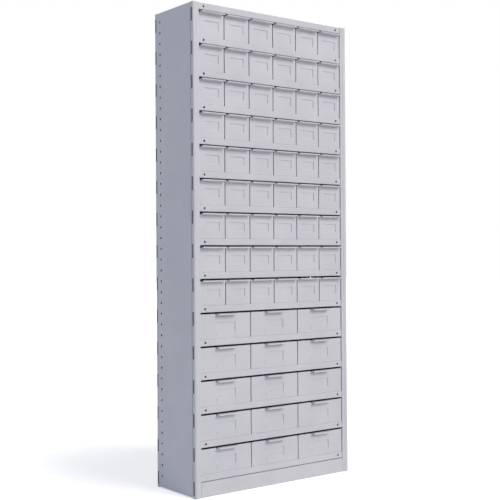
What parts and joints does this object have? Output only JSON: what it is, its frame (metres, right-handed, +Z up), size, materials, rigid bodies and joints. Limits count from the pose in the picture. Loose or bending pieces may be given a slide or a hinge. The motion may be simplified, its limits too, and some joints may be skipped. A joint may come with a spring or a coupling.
{
  "type": "drawer shelving unit",
  "caption": "Tall closed steel shelving unit whose shelves carry rows of pull-out parts drawers, small ones above and wide ones below, each with a folded pull and a card recess.",
  "frame": {"origin": "on the floor, below the middle of the overall box, pulls included", "axes": "+Z up, drawers face and open along -Y, +X to the right of someone who faces the drawers from behind them"},
  "size_m": [0.914, 0.336, 2.2],
  "materials": {
    "case_enamel": "light grey baked enamel, satin",
    "drawer_enamel": "light grey baked enamel, satin",
    "zinc_plated_steel": "bright zinc plate"
  },
  "bodies": {
    "case": {"back_panel": "case_enamel", "base_strip": "case_enamel", "bottom_shelf": "case_enamel", "foot_plates": "zinc_plated_steel", "front_left_post": "case_enamel", "front_right_post": "case_enamel", "large_drawer_shelves": "case_enamel", "left_side_panel": "case_enamel", "rear_left_post": "case_enamel", "rear_right_post": "case_enamel", "right_side_panel": "case_enamel", "shelf_clips": "zinc_plated_steel", "small_drawer_shelves": "case_enamel", "top_shelf": "case_enamel"},
    "large_drawer_row_10_column_1": {"large_drawer_row_10_column_1": "drawer_enamel"},
    "large_drawer_row_10_column_2": {"large_drawer_row_10_column_2": "drawer_enamel"},
    "large_drawer_row_10_column_3": {"large_drawer_row_10_column_3": "drawer_enamel"},
    "large_drawer_row_11_column_1": {"large_drawer_row_11_column_1": "drawer_enamel"},
    "large_drawer_row_11_column_2": {"large_drawer_row_11_column_2": "drawer_enamel"},
    "large_drawer_row_11_column_3": {"large_drawer_row_11_column_3": "drawer_enamel"},
    "large_drawer_row_12_column_1": {"large_drawer_row_12_column_1": "drawer_enamel"},
    "large_drawer_row_12_column_2": {"large_drawer_row_12_column_2": "drawer_enamel"},
    "large_drawer_row_12_column_3": {"large_drawer_row_12_column_3": "drawer_enamel"},
    "large_drawer_row_13_column_1": {"large_drawer_row_13_column_1": "drawer_enamel"},
    "large_drawer_row_13_column_2": {"large_drawer_row_13_column_2": "drawer_enamel"},
    "large_drawer_row_13_column_3": {"large_drawer_row_13_column_3": "drawer_enamel"},
    "large_drawer_row_14_column_1": {"large_drawer_row_14_column_1": "drawer_enamel"},
    "large_drawer_row_14_column_2": {"large_drawer_row_14_column_2": "drawer_enamel"},
    "large_drawer_row_14_column_3": {"large_drawer_row_14_column_3": "drawer_enamel"},
    "small_drawer_bank_row_01": {"small_drawer_bank_row_01": "drawer_enamel"},
    "small_drawer_bank_row_02": {"small_drawer_bank_row_02": "drawer_enamel"},
    "small_drawer_bank_row_03": {"small_drawer_bank_row_03": "drawer_enamel"},
    "small_drawer_bank_row_04": {"small_drawer_bank_row_04": "drawer_enamel"},
    "small_drawer_bank_row_05": {"small_drawer_bank_row_05": "drawer_enamel"},
    "small_drawer_row_06_column_1": {"small_drawer_row_06_column_1": "drawer_enamel"},
    "small_drawer_row_06_column_2": {"small_drawer_row_06_column_2": "drawer_enamel"},
    "small_drawer_row_06_column_3": {"small_drawer_row_06_column_3": "drawer_enamel"},
    "small_drawer_row_06_column_4": {"small_drawer_row_06_column_4": "drawer_enamel"},
    "small_drawer_row_06_column_5": {"small_drawer_row_06_column_5": "drawer_enamel"},
    "small_drawer_row_06_column_6": {"small_drawer_row_06_column_6": "drawer_enamel"},
    "small_drawer_row_07_column_1": {"small_drawer_row_07_column_1": "drawer_enamel"},
    "small_drawer_row_07_column_2": {"small_drawer_row_07_column_2": "drawer_enamel"},
    "small_drawer_row_07_column_3": {"small_drawer_row_07_column_3": "drawer_enamel"},
    "small_drawer_row_07_column_4": {"small_drawer_row_07_column_4": "drawer_enamel"},
    "small_drawer_row_07_column_5": {"small_drawer_row_07_column_5": "drawer_enamel"},
    "small_drawer_row_07_column_6": {"small_drawer_row_07_column_6": "drawer_enamel"},
    "small_drawer_row_08_column_1": {"small_drawer_row_08_column_1": "drawer_enamel"},
    "small_drawer_row_08_column_2": {"small_drawer_row_08_column_2": "drawer_enamel"},
    "small_drawer_row_08_column_3": {"small_drawer_row_08_column_3": "drawer_enamel"},
    "small_drawer_row_08_column_4": {"small_drawer_row_08_column_4": "drawer_enamel"},
    "small_drawer_row_08_column_5": {"small_drawer_row_08_column_5": "drawer_enamel"},
    "small_drawer_row_08_column_6": {"small_drawer_row_08_column_6": "drawer_enamel"},
    "small_drawer_row_09_column_1": {"small_drawer_row_09_column_1": "drawer_enamel"},
    "small_drawer_row_09_column_2": {"small_drawer_row_09_column_2": "drawer_enamel"},
    "small_drawer_row_09_column_3": {"small_drawer_row_09_column_3": "drawer_enamel"},
    "small_drawer_row_09_column_4": {"small_drawer_row_09_column_4": "drawer_enamel"},
    "small_drawer_row_09_column_5": {"small_drawer_row_09_column_5": "drawer_enamel"},
    "small_drawer_row_09_column_6": {"small_drawer_row_09_column_6": "drawer_enamel"}
  },
  "joints": [
    {"name": "large_drawer_row_10_column_1_slide", "type": "slide", "parent": "case", "child": "large_drawer_row_10_column_1", "axis": [0, -1, 0], "range_m": [0, 0.278]},
    {"name": "large_drawer_row_10_column_2_slide", "type": "slide", "parent": "case", "child": "large_drawer_row_10_column_2", "axis": [0, -1, 0], "range_m": [0, 0.278]},
    {"name": "large_drawer_row_10_column_3_slide", "type": "slide", "parent": "case", "child": "large_drawer_row_10_column_3", "axis": [0, -1, 0], "range_m": [0, 0.278]},
    {"name": "large_drawer_row_11_column_1_slide", "type": "slide", "parent": "case", "child": "large_drawer_row_11_column_1", "axis": [0, -1, 0], "range_m": [0, 0.278]},
    {"name": "large_drawer_row_11_column_2_slide", "type": "slide", "parent": "case", "child": "large_drawer_row_11_column_2", "axis": [0, -1, 0], "range_m": [0, 0.278]},
    {"name": "large_drawer_row_11_column_3_slide", "type": "slide", "parent": "case", "child": "large_drawer_row_11_column_3", "axis": [0, -1, 0], "range_m": [0, 0.278]},
    {"name": "large_drawer_row_12_column_1_slide", "type": "slide", "parent": "case", "child": "large_drawer_row_12_column_1", "axis": [0, -1, 0], "range_m": [0, 0.278]},
    {"name": "large_drawer_row_12_column_2_slide", "type": "slide", "parent": "case", "child": "large_drawer_row_12_column_2", "axis": [0, -1, 0], "range_m": [0, 0.278]},
    {"name": "large_drawer_row_12_column_3_slide", "type": "slide", "parent": "case", "child": "large_drawer_row_12_column_3", "axis": [0, -1, 0], "range_m": [0, 0.278]},
    {"name": "large_drawer_row_13_column_1_slide", "type": "slide", "parent": "case", "child": "large_drawer_row_13_column_1", "axis": [0, -1, 0], "range_m": [0, 0.278]},
    {"name": "large_drawer_row_13_column_2_slide", "type": "slide", "parent": "case", "child": "large_drawer_row_13_column_2", "axis": [0, -1, 0], "range_m": [0, 0.278]},
    {"name": "large_drawer_row_13_column_3_slide", "type": "slide", "parent": "case", "child": "large_drawer_row_13_column_3", "axis": [0, -1, 0], "range_m": [0, 0.278]},
    {"name": "large_drawer_row_14_column_1_slide", "type": "slide", "parent": "case", "child": "large_drawer_row_14_column_1", "axis": [0, -1, 0], "range_m": [0, 0.278]},
    {"name": "large_drawer_row_14_column_2_slide", "type": "slide", "parent": "case", "child": "large_drawer_row_14_column_2", "axis": [0, -1, 0], "range_m": [0, 0.278]},
    {"name": "large_drawer_row_14_column_3_slide", "type": "slide", "parent": "case", "child": "large_drawer_row_14_column_3", "axis": [0, -1, 0], "range_m": [0, 0.278]},
    {"name": "small_drawer_bank_row_01_slide", "type": "slide", "parent": "case", "child": "small_drawer_bank_row_01", "axis": [0, -1, 0], "range_m": [0, 0.278]},
    {"name": "small_drawer_bank_row_02_slide", "type": "slide", "parent": "case", "child": "small_drawer_bank_row_02", "axis": [0, -1, 0], "range_m": [0, 0.278]},
    {"name": "small_drawer_bank_row_03_slide", "type": "slide", "parent": "case", "child": "small_drawer_bank_row_03", "axis": [0, -1, 0], "range_m": [0, 0.278]},
    {"name": "small_drawer_bank_row_04_slide", "type": "slide", "parent": "case", "child": "small_drawer_bank_row_04", "axis": [0, -1, 0], "range_m": [0, 0.278]},
    {"name": "small_drawer_bank_row_05_slide", "type": "slide", "parent": "case", "child": "small_drawer_bank_row_05", "axis": [0, -1, 0], "range_m": [0, 0.278]},
    {"name": "small_drawer_row_06_column_1_slide", "type": "slide", "parent": "case", "child": "small_drawer_row_06_column_1", "axis": [0, -1, 0], "range_m": [0, 0.278]},
    {"name": "small_drawer_row_06_column_2_slide", "type": "slide", "parent": "case", "child": "small_drawer_row_06_column_2", "axis": [0, -1, 0], "range_m": [0, 0.278]},
    {"name": "small_drawer_row_06_column_3_slide", "type": "slide", "parent": "case", "child": "small_drawer_row_06_column_3", "axis": [0, -1, 0], "range_m": [0, 0.278]},
    {"name": "small_drawer_row_06_column_4_slide", "type": "slide", "parent": "case", "child": "small_drawer_row_06_column_4", "axis": [0, -1, 0], "range_m": [0, 0.278]},
    {"name": "small_drawer_row_06_column_5_slide", "type": "slide", "parent": "case", "child": "small_drawer_row_06_column_5", "axis": [0, -1, 0], "range_m": [0, 0.278]},
    {"name": "small_drawer_row_06_column_6_slide", "type": "slide", "parent": "case", "child": "small_drawer_row_06_column_6", "axis": [0, -1, 0], "range_m": [0, 0.278]},
    {"name": "small_drawer_row_07_column_1_slide", "type": "slide", "parent": "case", "child": "small_drawer_row_07_column_1", "axis": [0, -1, 0], "range_m": [0, 0.278]},
    {"name": "small_drawer_row_07_column_2_slide", "type": "slide", "parent": "case", "child": "small_drawer_row_07_column_2", "axis": [0, -1, 0], "range_m": [0, 0.278]},
    {"name": "small_drawer_row_07_column_3_slide", "type": "slide", "parent": "case", "child": "small_drawer_row_07_column_3", "axis": [0, -1, 0], "range_m": [0, 0.278]},
    {"name": "small_drawer_row_07_column_4_slide", "type": "slide", "parent": "case", "child": "small_drawer_row_07_column_4", "axis": [0, -1, 0], "range_m": [0, 0.278]},
    {"name": "small_drawer_row_07_column_5_slide", "type": "slide", "parent": "case", "child": "small_drawer_row_07_column_5", "axis": [0, -1, 0], "range_m": [0, 0.278]},
    {"name": "small_drawer_row_07_column_6_slide", "type": "slide", "parent": "case", "child": "small_drawer_row_07_column_6", "axis": [0, -1, 0], "range_m": [0, 0.278]},
    {"name": "small_drawer_row_08_column_1_slide", "type": "slide", "parent": "case", "child": "small_drawer_row_08_column_1", "axis": [0, -1, 0], "range_m": [0, 0.278]},
    {"name": "small_drawer_row_08_column_2_slide", "type": "slide", "parent": "case", "child": "small_drawer_row_08_column_2", "axis": [0, -1, 0], "range_m": [0, 0.278]},
    {"name": "small_drawer_row_08_column_3_slide", "type": "slide", "parent": "case", "child": "small_drawer_row_08_column_3", "axis": [0, -1, 0], "range_m": [0, 0.278]},
    {"name": "small_drawer_row_08_column_4_slide", "type": "slide", "parent": "case", "child": "small_drawer_row_08_column_4", "axis": [0, -1, 0], "range_m": [0, 0.278]},
    {"name": "small_drawer_row_08_column_5_slide", "type": "slide", "parent": "case", "child": "small_drawer_row_08_column_5", "axis": [0, -1, 0], "range_m": [0, 0.278]},
    {"name": "small_drawer_row_08_column_6_slide", "type": "slide", "parent": "case", "child": "small_drawer_row_08_column_6", "axis": [0, -1, 0], "range_m": [0, 0.278]},
    {"name": "small_drawer_row_09_column_1_slide", "type": "slide", "parent": "case", "child": "small_drawer_row_09_column_1", "axis": [0, -1, 0], "range_m": [0, 0.278]},
    {"name": "small_drawer_row_09_column_2_slide", "type": "slide", "parent": "case", "child": "small_drawer_row_09_column_2", "axis": [0, -1, 0], "range_m": [0, 0.278]},
    {"name": "small_drawer_row_09_column_3_slide", "type": "slide", "parent": "case", "child": "small_drawer_row_09_column_3", "axis": [0, -1, 0], "range_m": [0, 0.278]},
    {"name": "small_drawer_row_09_column_4_slide", "type": "slide", "parent": "case", "child": "small_drawer_row_09_column_4", "axis": [0, -1, 0], "range_m": [0, 0.278]},
    {"name": "small_drawer_row_09_column_5_slide", "type": "slide", "parent": "case", "child": "small_drawer_row_09_column_5", "axis": [0, -1, 0], "range_m": [0, 0.278]},
    {"name": "small_drawer_row_09_column_6_slide", "type": "slide", "parent": "case", "child": "small_drawer_row_09_column_6", "axis": [0, -1, 0], "range_m": [0, 0.278]}
  ]
}
